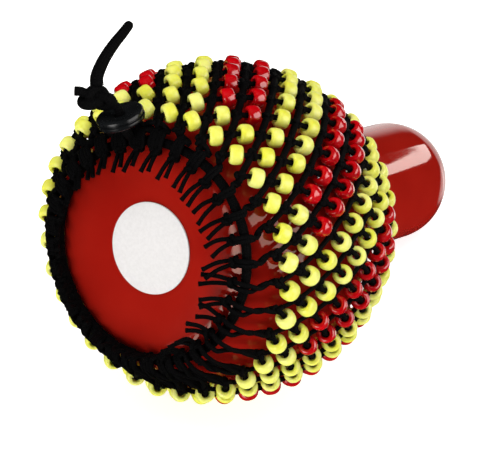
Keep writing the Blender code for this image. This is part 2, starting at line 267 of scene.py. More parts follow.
def gourd_placement():
    """The gourd's frame as it lies, from the axis that the net turns about."""
    for joint in frame["record"]["behaviour"]["joints"]:
        if joint["name"] == "net_turn":
            along = Vector(joint["axis"]).normalized()
            placement = Matrix((SIDEWAYS, along.cross(SIDEWAYS), along)).transposed().to_4x4()
            placement.translation = Vector(joint["pos_m"])
            return placement


GOURD = gourd_placement()


class Form:
    """Corners, faces and surface places of one mesh; a place is the share of a turn and the metres along."""

    def __init__(self):
        self.corners = []
        self.faces = []
        self.places = []

    def add_rings(self, rings, lengths, looped=False, capped=True):
        """Join rings of corners into one skin, closed by looping it or by a cap at each end."""
        first = len(self.corners)
        sides = len(rings[0])
        count = len(rings)
        for ring in rings:
            self.corners.extend(ring)
        for index in range(count if looped else count - 1):
            low = first + index * sides
            high = first + (index + 1) % count * sides
            for side in range(sides):
                beside = (side + 1) % sides
                self.faces.append((low + side, low + beside, high + beside, high + side))
                left = side / sides
                right = (side + 1) / sides
                self.places.append((left, lengths[index]))
                self.places.append((right, lengths[index]))
                self.places.append((right, lengths[index + 1]))
                self.places.append((left, lengths[index + 1]))
        if capped and not looped:
            for index in (0, count - 1):
                self.faces.append(tuple(first + index * sides + side for side in range(sides)))
                self.places.extend((side / sides, lengths[index]) for side in range(sides))


def round_point(radius, height, turn):
    """Point at a radius, a height and an angle about the gourd's axis."""
    return Vector((radius * math.cos(turn), radius * math.sin(turn), height))


def polar(centre, radius, angle):
    """Point of a profile, at a radius and an angle from a centre."""
    return (centre[0] + radius * math.cos(angle), centre[1] + radius * math.sin(angle))


def arc(centre, radius, first, last, steps):
    """Points of a profile at even steps from one angle to another."""
    points = []
    for step in range(steps + 1):
        points.append(polar(centre, radius, first + (last - first) * step / steps))
    return points


def smooth_route(knots, spacing):
    """Points at even steps on a smooth curve through the route's own points."""
    padded = [2 * knots[0] - knots[1]] + list(knots) + [2 * knots[-1] - knots[-2]]
    points = []
    for index in range(1, len(padded) - 2):
        before, first, last, after = padded[index - 1:index + 3]
        steps = max(1, round((last - first).length / spacing))
        for step in range(steps):
            share = step / steps
            bend = 2 * first + (last - before) * share
            bend += (2 * before - 5 * first + 4 * last - after) * share ** 2
            bend += (3 * first - before - 3 * last + after) * share ** 3
            points.append(bend / 2)
    points.append(knots[-1])
    return points


def add_turned(form, profile, steps, closed=False, placement=None):
    """Turn a profile of radius and height about the height's axis."""
    rings = []
    lengths = [0.0]
    for index, (radius, height) in enumerate(profile):
        ring = [round_point(radius, height, 2 * math.pi * step / steps) for step in range(steps)]
        if placement is not None:
            ring = [placement @ point for point in ring]
        rings.append(ring)
        after = profile[(index + 1) % len(profile)]
        lengths.append(lengths[-1] + math.hypot(after[0] - radius, after[1] - height))
    form.add_rings(rings, lengths, looped=closed, capped=False)


def add_tube(form, points, radii, reference, sides=8, looped=False):
    """Sweep a round cord along points; the reference is a direction that the cord never runs along."""
    rings = []
    lengths = [0.0]
    count = len(points)
    for index, point in enumerate(points):
        before = points[index - 1] if looped or index > 0 else point
        after = points[(index + 1) % count] if looped or index < count - 1 else point
        along = (after - before).normalized()
        aside = (reference - along * reference.dot(along)).normalized()
        over = along.cross(aside)
        ring = []
        for side in range(sides):
            angle = 2 * math.pi * side / sides
            ring.append(point + (aside * math.cos(angle) + over * math.sin(angle)) * radii[index])
        rings.append(ring)
        lengths.append(lengths[-1] + (points[(index + 1) % count] - point).length)
    form.add_rings(rings, lengths, looped=looped)


def add_knot(form, centre, axes, sizes, cord_radius, steps=40, sides=6):
    """Tie a cord into a tight three-lobed knot round a centre."""
    points = []
    for step in range(steps):
        turn = 2 * math.pi * step / steps
        point = centre + axes[0] * (math.sin(turn) + 2 * math.sin(2 * turn)) * sizes[0]
        point += axes[1] * (math.cos(turn) - 2 * math.cos(2 * turn)) * sizes[1]
        point -= axes[2] * math.sin(3 * turn) * sizes[2]
        points.append(point)
    add_tube(form, points, [cord_radius] * steps, axes[2], sides, looped=True)


def make_piece(name, form, material, body, nodes=()):
    """Make one object of a form, laid down with the gourd, that rides on a body and stands for its nodes."""
    mesh = bpy.data.meshes.new(name)
    mesh.from_pydata([GOURD @ corner for corner in form.corners], [], form.faces)
    layer = mesh.uv_layers.new(name="surface")
    layer.data.foreach_set("uv", [value for place in form.places for value in place])
    tidy = bmesh.new()
    tidy.from_mesh(mesh)
    bmesh.ops.remove_doubles(tidy, verts=tidy.verts, dist=MERGE_DISTANCE)
    bmesh.ops.recalc_face_normals(tidy, faces=tidy.faces)
    tidy.to_mesh(mesh)
    tidy.free()
    mesh.shade_smooth()
    mesh.set_sharp_from_angle(angle=CREASE_ANGLE)
    mesh.materials.append(material)
    piece = bpy.data.objects.new(name, mesh)
    bpy.context.scene.collection.objects.link(piece)
    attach(piece, body)
    if nodes:
        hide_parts(*nodes)
    return piece


class Finish:
    """One procedural material, built up node by node."""

    def __init__(self, name, settings):
        self.material = bpy.data.materials.new(name)
        self.material.use_nodes = True
        self.nodes = self.material.node_tree.nodes
        self.links = self.material.node_tree.links
        self.shader = self.nodes["Principled BSDF"]
        for socket, value in settings.items():
            self.shader.inputs[socket].default_value = value

    def noise(self, scale, detail):
        """Noise in the object's own space."""
        place = self.nodes.new("ShaderNodeTexCoord")
        texture = self.nodes.new("ShaderNodeTexNoise")
        texture.inputs["Scale"].default_value = scale
        texture.inputs["Detail"].default_value = detail
        self.links.new(place.outputs["Object"], texture.inputs["Vector"])
        return texture.outputs["Fac"]

    def combine(self, operation, first, second):
        """Join two values, each a number or a socket, by one operation."""
        node = self.nodes.new("ShaderNodeMath")
        node.operation = operation
        for socket, value in zip(node.inputs, (first, second)):
            if isinstance(value, (int, float)):
                socket.default_value = value
            else:
                self.links.new(value, socket)
        return node.outputs["Value"]

    def span(self, value, low, high):
        """Spread the middle of a noise over a range of values."""
        node = self.nodes.new("ShaderNodeMapRange")
        node.inputs["From Min"].default_value = NOISE_LOW
        node.inputs["From Max"].default_value = NOISE_HIGH
        node.inputs["To Min"].default_value = low
        node.inputs["To Max"].default_value = high
        self.links.new(value, node.inputs["Value"])
        return node.outputs["Result"]

    def colours(self, value, stops):
        """Blend the surface from one colour to another between two values of a noise."""
        ramp = self.nodes.new("ShaderNodeValToRGB")
        for element, (position, colour) in zip(ramp.color_ramp.elements, stops):
            element.position = position
            element.color = (*colour, 1.0)
        self.links.new(value, ramp.inputs["Fac"])
        self.links.new(ramp.outputs["Color"], self.shader.inputs["Base Color"])

    def roughness(self, value, low, high):
        """Vary the roughness with a noise."""
        self.links.new(self.span(value, low, high), self.shader.inputs["Roughness"])

    def bump(self, height, depth):
        """Raise the surface by a height of at most this depth, in its shading alone."""
        node = self.nodes.new("ShaderNodeBump")
        node.inputs["Distance"].default_value = depth
        self.links.new(height, node.inputs["Height"])
        self.links.new(node.outputs["Normal"], self.shader.inputs["Normal"])

    def braid(self, plaits, pitch):
        """Height of a braid: two sets of plaits that wind round the cord in opposite directions."""
        place = self.nodes.new("ShaderNodeUVMap")
        place.uv_map = "surface"
        parts = self.nodes.new("ShaderNodeSeparateXYZ")
        self.links.new(place.outputs["UV"], parts.inputs["Vector"])
        around = self.combine("MULTIPLY", parts.outputs["X"], 2 * math.pi * plaits)
        along = self.combine("MULTIPLY", parts.outputs["Y"], 2 * math.pi / pitch)
        one_way = self.combine("SINE", self.combine("ADD", around, along), 0.0)
        other_way = self.combine("SINE", self.combine("SUBTRACT", around, along), 0.0)
        return self.combine("MULTIPLY", one_way, other_way)


def lacquer_finish():
    """Deep red gloss lacquer over fibreglass, with a faint ripple and slightly uneven depth of colour."""
    finish = Finish("red_lacquer", {"IOR": 1.5, "Specular Tint": (1.0, 0.78, 0.66, 1.0)})
    finish.colours(finish.noise(28, 3.0), [(0.3, (0.31, 0.0075, 0.004)), (0.7, (0.37, 0.0115, 0.006))])
    finish.roughness(finish.noise(180, 4.0), 0.03, 0.06)
    finish.bump(finish.noise(90, 2.0), 0.00001)
    return finish.material


def label_finish():
    """Off-white satin label with a faint paper speckle."""
    finish = Finish("white_label", {"Specular IOR Level": 0.4})
    finish.colours(finish.noise(700, 4.0), [(0.35, (0.74, 0.735, 0.74)), (0.65, (0.79, 0.785, 0.79))])
    finish.roughness(finish.noise(300, 3.0), 0.35, 0.5)
    finish.bump(finish.noise(2500, 2.0), 0.00002)
    return finish.material


def yellow_finish():
    """Waxy lemon plastic that lets a little light in, mottled from bead to bead."""
    finish = Finish("yellow_beads", {
        "Subsurface Weight": 0.25, "Subsurface Scale": 0.0015, "Subsurface Radius": (1.0, 0.8, 0.1),
        "Coat Weight": 0.25, "Coat Roughness": 0.12})
    fine = finish.combine("MULTIPLY", finish.noise(600, 3.0), 0.5)
    both = finish.combine("ADD", finish.noise(70, 1.0), fine)
    mottle = finish.combine("MULTIPLY", both, 0.667)
    finish.colours(mottle, [(0.38, (0.84, 0.85, 0.07)), (0.62, (0.92, 0.95, 0.25))])
    finish.roughness(finish.noise(400, 3.0), 0.28, 0.42)
    finish.bump(finish.noise(800, 3.0), 0.00006)
    return finish.material


def red_finish():
    """Glossy clear red plastic, a shade darker on some beads than on others."""
    finish = Finish("red_beads", {
        "Coat Weight": 0.8, "Coat Roughness": 0.04, "Subsurface Weight": 0.1, "Subsurface Scale": 0.001,
        "Subsurface Radius": (1.0, 0.05, 0.05)})
    finish.colours(finish.noise(70, 2.0), [(0.35, (0.46, 0.0006, 0.003)), (0.65, (0.62, 0.0015, 0.006))])
    finish.roughness(finish.noise(300, 3.0), 0.10, 0.20)
    finish.bump(finish.noise(350, 2.0), 0.00006)
    return finish.material


def cord_finish(name, plaits, pitch, relief):
    """Matt black braided cord with fine fuzz over its plaits."""
    finish = Finish(name, {"Specular IOR Level": 0.08})
    fuzz = finish.noise(3500, 4.0)
    braid = finish.combine("MULTIPLY", finish.braid(plaits, pitch), relief)
    height = finish.combine("ADD", braid, finish.combine("MULTIPLY", fuzz, 0.6))
    finish.colours(fuzz, [(0.35, (0.0004, 0.0004, 0.0005)), (0.7, (0.003, 0.003, 0.0035))])
    finish.roughness(fuzz, 0.7, 0.9)
    finish.bump(height, 0.00022)
    return finish.material


def plastic_finish():
    """Satin black plastic with a moulded grain and light scuffs."""
    finish = Finish("black_plastic", {"Specular IOR Level": 0.3, "Coat Weight": 0.1, "Coat Roughness": 0.15})
    grain = finish.noise(900, 4.0)
    finish.colours(finish.noise(160, 5.0), [(0.35, (0.004, 0.0045, 0.005)), (0.7, (0.007, 0.008, 0.009))])
    finish.roughness(grain, 0.22, 0.28)
    finish.bump(grain, 0.000003)
    return finish.material


def floor_finish():
    """Plain white studio floor with a glow of its own, so that it stays white."""
    finish = Finish("floor", {
        "Specular IOR Level": 0.1, "Emission Color": (1.0, 1.0, 1.0, 1.0), "Emission Strength": FLOOR_GLOW})
    finish.colours(finish.noise(6, 2.0), [(0.3, (0.93, 0.93, 0.93)), (0.7, (0.95, 0.95, 0.95))])
    finish.roughness(finish.noise(40, 2.0), 0.8, 0.9)
    return finish.material


def gourd_outline(inset, seam, steps):
    """The gourd's outline from the tip of the handle down to the seam, drawn inset from the outside."""
    tip = (0.0, HANDLE_CENTRE)
    neck = (NECK_REACH, NECK_HEIGHT)
    belly = (0.0, BELLY_HEIGHT)
    rim = (BASE_FLAT_RADIUS, BASE_FILLET)
    outline = arc(tip, HANDLE_RADIUS - inset, math.pi / 2, 0.0, steps)
    outline[0] = (0.0, BODY_LENGTH - inset)
    straight = NECK_HEIGHT - HANDLE_CENTRE
    for step in range(1, steps // 2):
        outline.append((HANDLE_RADIUS - inset, HANDLE_CENTRE + straight * 2 * step / steps))
    outline += arc(neck, NECK_FILLET + inset, math.pi, math.pi + NECK_ANGLE, steps)
    outline += arc(belly, BELLY_RADIUS - inset, NECK_ANGLE, RIM_ANGLE, 2 * steps)[1:]
    outline += arc(rim, BASE_FILLET - inset, RIM_ANGLE, seam, steps // 2)[1:]
    return outline


def make_gourd():
    """The hollow gourd, inside and outside, open at the seam where the base closes it."""
    seam = SEAM_ANGLE - math.pi / 2
    form = Form()
    profile = gourd_outline(0.0, seam, OUTSIDE_STEPS) + gourd_outline(WALL, seam, INSIDE_STEPS)[::-1]
    add_turned(form, profile, BODY_STEPS)
    make_piece("gourd_body", form, red_lacquer, "gourd", ["body_shell"])


def make_base():
    """The base plate with its rounded edge, and the lip that sits inside the gourd."""
    rim = (BASE_FLAT_RADIUS, BASE_FILLET)
    seam = SEAM_ANGLE - math.pi / 2
    inner_radius = BASE_FILLET - WALL
    inner_corner = polar(rim, inner_radius, seam - FIT_GAP / inner_radius)
    lip_outside = inner_corner[0] - FIT_GAP
    lip_top = inner_corner[1] + LIP_HEIGHT
    profile = [(0.0, WALL), (lip_outside - LIP_WIDTH, WALL)]
    profile += [(lip_outside - LIP_WIDTH, lip_top), (lip_outside, lip_top), inner_corner]
    profile += arc(rim, BASE_FILLET, seam - FIT_GAP / BASE_FILLET, -math.pi / 2, EDGE_STEPS)
    profile += [(BASE_FLAT_RADIUS / 2, 0.0), (0.0, 0.0)]
    form = Form()
    add_turned(form, profile, BODY_STEPS)
    make_piece("base_face", form, red_lacquer, "gourd", ["base_plate"])


def make_badge():
    """The bare round label on the base."""
    back = -FIT_GAP
    front = back - BADGE_THICKNESS
    edge = (BADGE_RADIUS - BADGE_EDGE, front + BADGE_EDGE)
    profile = [(0.0, back), (BADGE_RADIUS, back)]
    profile += arc(edge, BADGE_EDGE, 0.0, -math.pi / 2, BADGE_EDGE_STEPS)
    profile += [(BADGE_RADIUS / 2, front), (0.0, front)]
    form = Form()
    add_turned(form, profile, BODY_STEPS)
    make_piece("badge", form, white_label, "gourd", ["base_badge"])


def hem_point(turn):
    """Middle of the hem's cord; away from the drawstring it has slipped a little round the base's edge."""
    slip = 1 - math.cos((turn - DRAWSTRING_ANGLE) / 2) ** HEM_SLIP_POWER
    lean = HEM_ANGLE + HEM_SLIP * slip
    radius = BASE_FLAT_RADIUS + HEM_REACH * math.sin(lean)
    height = BASE_FILLET - HEM_REACH * math.cos(lean)
    return round_point(radius, height, turn)


def make_hem():
    """The braided hem, squeezed a little where the net's cords pass over it."""
    chance = random.Random(HEM_SEED)
    points = []
    radii = []
    shifts = [chance.uniform(-HEM_WANDER, HEM_WANDER) for _ in range(STRANDS)]
    for step in range(STRANDS * HEM_STRAND_STEPS):
        place = step / HEM_STRAND_STEPS
        strand = int(place)
        turn = strand_turn(place, -0.5) + HEM_LOOP_SHIFT
        share = place - strand
        blend = (1 - math.cos(math.pi * share)) / 2
        shift = shifts[strand] * (1 - blend) + shifts[(strand + 1) % STRANDS] * blend
        points.append(hem_point(turn) + UPRIGHT * (shift - HEM_WANDER))
        squeeze = HEM_SQUEEZE * (1 + math.cos(2 * math.pi * share)) / 2
        radii.append(HEM_CORD_RADIUS * (1 - squeeze))
    form = Form()
    add_tube(form, points, radii, UPRIGHT, WIDE_CORD_SIDES, looped=True)
    make_piece("hem_cord", form, thick_cord, "net", ["hem_ring"])


def make_neck_ring():
    """Two-ply cord round the neck."""
    form = Form()
    reach = NECK_CORD_RADIUS / 2
    for ply in (0.0, math.pi):
        points = []
        for step in range(NECK_RING_STEPS):
            turn = 2 * math.pi * step / NECK_RING_STEPS
            twist = ply + NECK_RING_TWISTS * turn
            radius = NECK_RING_RADIUS + reach * math.cos(twist)
            height = NECK_RING_HEIGHT + reach * math.sin(twist)
            points.append(round_point(radius, height, turn))
        add_tube(form, points, [reach] * NECK_RING_STEPS, UPRIGHT, looped=True)
    make_piece("neck_cord", form, thin_cord, "collar", ["neck_ring"])


def strand_turn(strand, row):
    """Angle round the gourd of a strand at a row; the strands bunch a little on one side."""
    turn = FIRST_STRAND_ANGLE + strand * STRAND_STEP + row * ROW_TWIST
    return turn + NET_BUNCH * math.cos(turn - NET_BUNCH_ANGLE)


def strand_point(strand, row):
    """Point on a strand's middle line at a row; the knots lie at the half rows, between the beads.

    The loose net leans: its lower side has slipped towards the handle and its upper side towards the base.
    The lean is greatest at the hem and dies out at the neck ring.
    """
    turn = strand_turn(strand, row)
    lean = NET_LEAN * math.cos(turn - NET_LEAN_ANGLE) * (1 - row / ROWS)
    lift = FIRST_ROW_LIFT + row * ROW_STEP + lean / NET_ARC_RADIUS
    radius = NET_ARC_RADIUS * math.cos(lift) - NET_FLARE
    height = BELLY_HEIGHT + NET_ARC_RADIUS * math.sin(lift)
    return round_point(radius, height, turn)


def strand_direction(strand, row):
    """Direction in which a strand runs at a row."""
    return (strand_point(strand, row + 0.5) - strand_point(strand, row - 0.5)).normalized()


def outward(point):
    """Direction away from the middle of the belly."""
    return (point - Vector((0.0, 0.0, BELLY_HEIGHT))).normalized()


def is_red(strand, row):
    """The first two rows and the last are yellow; between them pairs of stripes cross the strands."""
    return 2 <= row < ROWS - 1 and (strand + row) % 4 in (0, 3)


def bead_profile():
    """A pony bead's closed section: a barrel with a round hole and softened edges.

    The lip's points are steps out from the hole and the barrel's are shares of the radius.
    All of their heights are shares of half the length.
    """
    half = BEAD_WORN * BEAD_LENGTH / 2
    reach = BEAD_WORN * BEAD_RADIUS
    upper = [(BEAD_HOLE + step, share * half) for step, share in BEAD_LIP]
    upper += [(out * reach, share * half) for out, share in BEAD_BARREL]
    lower = [(radius, -height) for radius, height in upper[::-1]]
    return upper + [(reach, 0.0)] + lower


def bead_placement(strand, row, chance):
    """Place one bead on its strand, a little askew; on one side the beads of the middle rows tip outward."""
    along = strand_direction(strand, row)
    aside = along.cross(outward(strand_point(strand, row))).normalized()
    over = aside.cross(along)
    side = max(0.0, math.cos(strand_turn(strand, row))) ** 2
    tip = math.tan(BEAD_TIP * side * max(0.0, 1 - ((row - BEAD_TIP_ROW) / BEAD_TIP_ROWS) ** 2))
    sideways = math.tan(chance.uniform(-BEAD_TILT, BEAD_TILT)) - BEAD_TIP_ASIDE * tip
    outwards = math.tan(chance.uniform(-BEAD_TILT, BEAD_TILT)) - tip
    along = (along + aside * sideways + over * outwards).normalized()
    aside = (aside - along * aside.dot(along)).normalized()
    placement = Matrix((aside, along.cross(aside), along)).transposed().to_4x4()
    shift = aside * chance.uniform(-BEAD_SHIFT, BEAD_SHIFT) + along * chance.uniform(-BEAD_SHIFT, BEAD_SHIFT)
    placement.translation = strand_point(strand, row) + shift + over * BEAD_TIP_LIFT * tip
    return placement


def knot_point(strand, row):
    """Middle of a net knot; the lowest knots lie tucked in by the shell."""
    point = strand_point(strand, row)
    if row < 0:
        point -= outward(point) * KNOT_TUCK
    return point


def add_net_knot(form, strand, row, chance):
    """Tie the knot that joins the strand to its neighbour."""
    centre = knot_point(strand, row)
    facing = outward(centre)
    along = strand_direction(strand, row)
    aside = facing.cross(along).normalized()
    spin = chance.uniform(0.0, 2 * math.pi)
    facing += aside * chance.uniform(-KNOT_LOLL, KNOT_LOLL)
    facing += along * chance.uniform(-KNOT_LOLL, KNOT_LOLL)
    facing.normalize()
    first = along * math.cos(spin) + aside * math.sin(spin)
    first = (first - facing * first.dot(facing)).normalized()
    scale = KNOT_SCALE * chance.uniform(*KNOT_SCALE_RANGE)
    axes = (first, facing.cross(first), facing)
    add_knot(form, centre, axes, (scale, scale, KNOT_DEPTH * scale), KNOT_CORD_RADIUS)


def add_net_legs(form, strand, beads, chance):
    """Run the cord through the strand's beads and bare across to the strand beside it, thicker on top."""
    for row, bead in enumerate(beads):
        low = knot_point(strand, row - 0.5)
        middle = bead.translation
        half = bead.to_3x3() @ UPRIGHT * BEAD_LENGTH / 2
        high = strand_point(strand, row + 0.5)
        beaded = smooth_route([low, middle - half, middle + half, high], LEG_SPACING)
        add_tube(form, beaded, [LEG_RADIUS] * len(beaded), outward(middle), THIN_CORD_SIDES)
        across = strand_point(strand - 1, row + 0.5)
        facing = outward((low + across) / 2)
        sag = facing * chance.uniform(*BARE_LEG_SAG_RANGE) * BARE_LEG_SAG
        bare = smooth_route([low, (low + across) / 2 + sag, across], BARE_LEG_SPACING)
        upper = max(0.0, -math.sin(strand_turn(strand, row)))
        radius = BARE_LEG_RADIUS * (1 + BARE_LEG_UPPER * upper)
        add_tube(form, bare, [radius] * len(bare), facing, THIN_CORD_SIDES)


def add_loop_cords(form, start, bends, around, slack, bow, fan, chance):
    """Twist a loop's two cords from the lowest knot to the hem; they may swing, sag, bow or fan apart."""
    facing = outward((start + bends[0]) / 2)
    swing = slack / 2 * chance.choice((-1, 1))
    for side in (0.0, math.pi):
        route = []
        for step in range(HEM_LOOP_STEPS + 1):
            share = step / HEM_LOOP_STEPS
            twist = side + 2 * math.pi * share
            point = start.lerp(bends[0], share)
            point += around * (swing * math.sin(2 * math.pi * share) + bow * math.sin(math.pi * share))
            point += around * (HEM_LOOP_SPREAD * math.cos(twist) + fan * share * math.cos(side))
            sag = SLACK_SAG * slack * math.sin(math.pi * share)
            point += facing * (HEM_LOOP_SPREAD * math.sin(twist) - sag)
            route.append(point)
        route += [point + around * (HEM_LOOP_SPREAD + fan) * math.cos(side) for point in bends[1:3]]
        route.append(bends[3] + around * HEM_LOOP_SPREAD * math.cos(side))
        points = smooth_route(route, HEM_LOOP_SPACING)
        add_tube(form, points, [HEM_LOOP_RADIUS] * len(points), facing, THIN_CORD_SIDES)


def add_tassel(form, knot, inward, around, turn, chance):
    """Let the loop's two stiff cut ends stand off the base, lean in over it and droop."""
    left = TASSEL_RISE_LEFT * (1 - math.cos(turn))
    lean = around * chance.uniform(-TASSEL_SWAY, TASSEL_SWAY)
    rise = UPRIGHT * TASSEL_RISE * (1 + left) * chance.uniform(*TASSEL_RISE_RANGE)
    droop = DOWNHILL * TASSEL_DROOP * chance.uniform(*TASSEL_DROOP_RANGE)
    longer = TASSEL_EVEN_SHARE + TASSEL_LONG_SHARE * math.cos(turn - TASSEL_LONG_ANGLE)
    inward = inward * (1 - TASSEL_LOW_LOSS * max(0.0, math.sin(turn)))
    for side in (-1, 1):
        heading = (inward + lean + around * side * chance.uniform(0.0, TASSEL_SWAY) - rise).normalized()
        start = knot + heading * TASSEL_CORD_RADIUS + around * side * HEM_LOOP_SPREAD
        length = TASSEL_LENGTH * longer * chance.uniform(*TASSEL_LENGTH_RANGE)
        middle = start + (heading + droop / 4).normalized() * length / 2
        tip = middle + (heading + 3 * droop / 4).normalized() * length / 2
        points = smooth_route([start, middle, tip], TASSEL_SPACING)
        radii = [TASSEL_CORD_RADIUS] * len(points)
        radii[-1] = TASSEL_FRAY * TASSEL_CORD_RADIUS
        add_tube(form, points, radii, around, THIN_CORD_SIDES)


def add_hem_loop(form, strand, chance):
    """Pass the strand's two cords over the hem, then knot them and leave their cut ends.

    Where the net crowds, slack pairs of cords bow out beside them, to one side or to both.
    """
    turn = strand_turn(strand, -0.5) + HEM_LOOP_SHIFT
    around = round_point(1.0, 0.0, turn + math.pi / 2)
    inward = -round_point(1.0, 0.0, turn)
    clear = HEM_CORD_RADIUS + NET_CORD_RADIUS
    hem = hem_point(turn)
    right = math.cos(turn)
    low = max(0.0, math.sin(turn))
    reach = LOOP_KNOT_INWARD + LOOP_KNOT_INWARD_RIGHT * right - LOOP_KNOT_INWARD_LOW * low
    knot = hem + inward * reach - UPRIGHT * (LOOP_KNOT_OFF - LOOP_KNOT_OFF_RIGHT * right)
    start = knot_point(strand, -0.5)
    bends = [hem - inward * outside * clear - UPRIGHT * below * clear for outside, below in HEM_LOOP_BENDS]
    bends.append(knot)
    span = (start - bends[0]).length
    slack = span / math.pi * math.sqrt(max(0.0, HEM_LOOP_LENGTH / span - 1))
    fan = LOOP_FAN * max(0.0, math.cos(turn - LOOP_FAN_ANGLE)) ** 2
    add_loop_cords(form, start, bends, around, slack, 0.0, fan, chance)
    crowding = math.cos(turn - SLACK_ANGLE)
    for limit, way in SLACK_LOOPS:
        if crowding > limit:
            bow = way * SLACK_BOW * chance.uniform(*SLACK_BOW_RANGE)
            spread = [bend + around * SLACK_SPREAD * bow for bend in bends[:3]] + [knot]
            add_loop_cords(form, start, spread, around, slack + SLACK_SWING, bow, 0.0, chance)
    add_tassel(form, knot, inward, around, turn, chance)
    spin = chance.uniform(0.0, 2 * math.pi)
    first = around * math.cos(spin) + UPRIGHT * math.sin(spin)
    scale = LOOP_KNOT_SCALE * chance.uniform(*LOOP_KNOT_SCALE_RANGE)
    axes = (first, inward.cross(first), inward)
    add_knot(form, knot, axes, (scale, scale, LOOP_KNOT_DEPTH * scale), KNOT_CORD_RADIUS)


def add_neck_end(form, strand):
    """Lead the strand to the neck ring and hook it over."""
    turn = strand_turn(strand, ROWS)
    ring = round_point(NECK_RING_RADIUS, NECK_RING_HEIGHT, turn)
    away = round_point(1.0, 0.0, turn)
    reach = NECK_CORD_RADIUS + NET_CORD_RADIUS + FIT_GAP
    route = [strand_point(strand, ROWS - 0.5)]
    for angle in NECK_HOOK_ANGLES:
        bend = math.radians(angle)
        route.append(ring + (away * math.cos(bend) + UPRIGHT * math.sin(bend)) * reach)
    points = smooth_route(route, NECK_HOOK_SPACING)
    around = round_point(1.0, 0.0, turn + math.pi / 2)
    add_tube(form, points, [NET_CORD_RADIUS] * len(points), around, THIN_CORD_SIDES)


def make_net():
    """All the strands, each with its cord, its knots and its beads of both colours."""
    for strand in range(STRANDS):
        chance = random.Random(NET_SEED + strand)
        label = "%02d" % (strand + 1)
        beads = [bead_placement(strand, row, chance) for row in range(ROWS)]
        cord = Form()
        add_net_legs(cord, strand, beads, chance)
        for row in range(ROWS + 1):
            add_net_knot(cord, strand, row - 0.5, chance)
        add_hem_loop(cord, strand, chance)
        add_neck_end(cord, strand)
        make_piece("net_cord_" + label, cord, thin_cord, "net", ["net_strand_" + label])
        yellow = Form()
        red = Form()
        for row, bead in enumerate(beads):
            form = red if is_red(strand, row) else yellow
            add_turned(form, bead_profile(), BEAD_STEPS, closed=True, placement=bead)
        make_piece("beads_yellow_" + label, yellow, yellow_beads, "net")
        make_piece("beads_red_" + label, red, red_beads, "net")


def hem_exit():
    """Place on the hem where the drawstring leaves it."""
    return hem_point(DRAWSTRING_ANGLE)


def lock_centre():
    return hem_exit() + LOCK_OFFSET


def knot_centre():
    return hem_exit() + KNOT_OFFSET


def seated_on_knot(point):
    """Point a fit gap off the knot's surface, on the line towards a point of the cord."""
    away = (point - knot_centre()).normalized()
    return knot_centre() + away * (KNOT_RADIUS + FIT_GAP)


def make_lock():
    """The lock disc: a dished top, a groove round its edge and a bore for the drawstring."""
    half = LOCK_THICKNESS / 2
    bore = DRAWSTRING_RADIUS + LOCK_BORE_CLEARANCE
    groove = LOCK_RADIUS - LOCK_GROOVE
    floor = LOCK_GROOVE_FLOOR * LOCK_GROOVE
    profile = [(bore, half - LOCK_DISH), (bore + LOCK_DISH, half - LOCK_DISH)]
    for step in range(1, LOCK_DISH_STEPS):
        share = step / LOCK_DISH_STEPS
        radius = bore + LOCK_DISH + (LOCK_RADIUS - 3 * LOCK_DISH - bore) * share
        profile.append((radius, half - LOCK_DISH * (1 - share ** 2)))
    profile += arc((LOCK_RADIUS - LOCK_DISH, half - LOCK_DISH), LOCK_DISH, LOCK_LIP_ANGLE, 0.0, EDGE_STEPS)
    profile += [(LOCK_RADIUS, LOCK_GROOVE), (groove, floor), (groove, -floor), (LOCK_RADIUS, -LOCK_GROOVE)]
    profile += arc((LOCK_RADIUS - LOCK_DISH, LOCK_DISH - half), LOCK_DISH, 0.0, -math.pi / 2, EDGE_STEPS)
    profile += [(bore + LOCK_BORE_EDGE, -half), (bore, LOCK_BORE_EDGE - half)]
    placement = LOCK_AXIS.to_track_quat("Z", "Y").to_matrix().to_4x4()
    placement.translation = lock_centre()
    form = Form()
    add_turned(form, profile, LOCK_STEPS, closed=True, placement=placement)
    make_piece("lock_disc", form, black_plastic, "lock", ["cord_lock"])


def make_lead():
    """The drawstring, from the hem through the lock's bore to the knot."""
    middle = lock_centre()
    straight = [middle - LOCK_AXIS * LOCK_STRAIGHT, middle, middle + LOCK_AXIS * LOCK_THICKNESS]
    route = [hem_exit(), hem_exit() + LEAD_START] + straight + [seated_on_knot(straight[-1])]
    points = smooth_route(route, LEAD_SPACING)
    form = Form()
    add_tube(form, points, [DRAWSTRING_RADIUS] * len(points), SIDEWAYS, THICK_CORD_SIDES)
    make_piece("lead_cord", form, thick_cord, "net", ["drawstring_lead"])


def make_overhand_knot():
    """The drawstring's knot above the lock."""
    width = OVERHAND_WIDTH.normalized()
    height = (OVERHAND_HEIGHT - width * OVERHAND_HEIGHT.dot(width)).normalized()
    axes = (width, -height, height.cross(width))
    form = Form()
    centre = knot_centre() + LOCK_AXIS * FIT_GAP
    add_knot(form, centre, axes, OVERHAND_SIZE, OVERHAND_CORD_RADIUS, OVERHAND_STEPS, THICK_CORD_SIDES)
    make_piece("overhand_knot", form, thick_cord, "net", ["drawstring_knot"])


def make_stub():
    """The drawstring's short end, cut off beside the knot."""
    route = [hem_exit() + Vector(offset) for offset in STUB_ROUTE]
    points = smooth_route([seated_on_knot(route[0])] + route, STUB_SPACING)
    form = Form()
    add_tube(form, points, [STUB_RADIUS] * len(points), DOWNHILL, THICK_CORD_SIDES)
    make_piece("stub_cord", form, thick_cord, "net", ["drawstring_stub"])


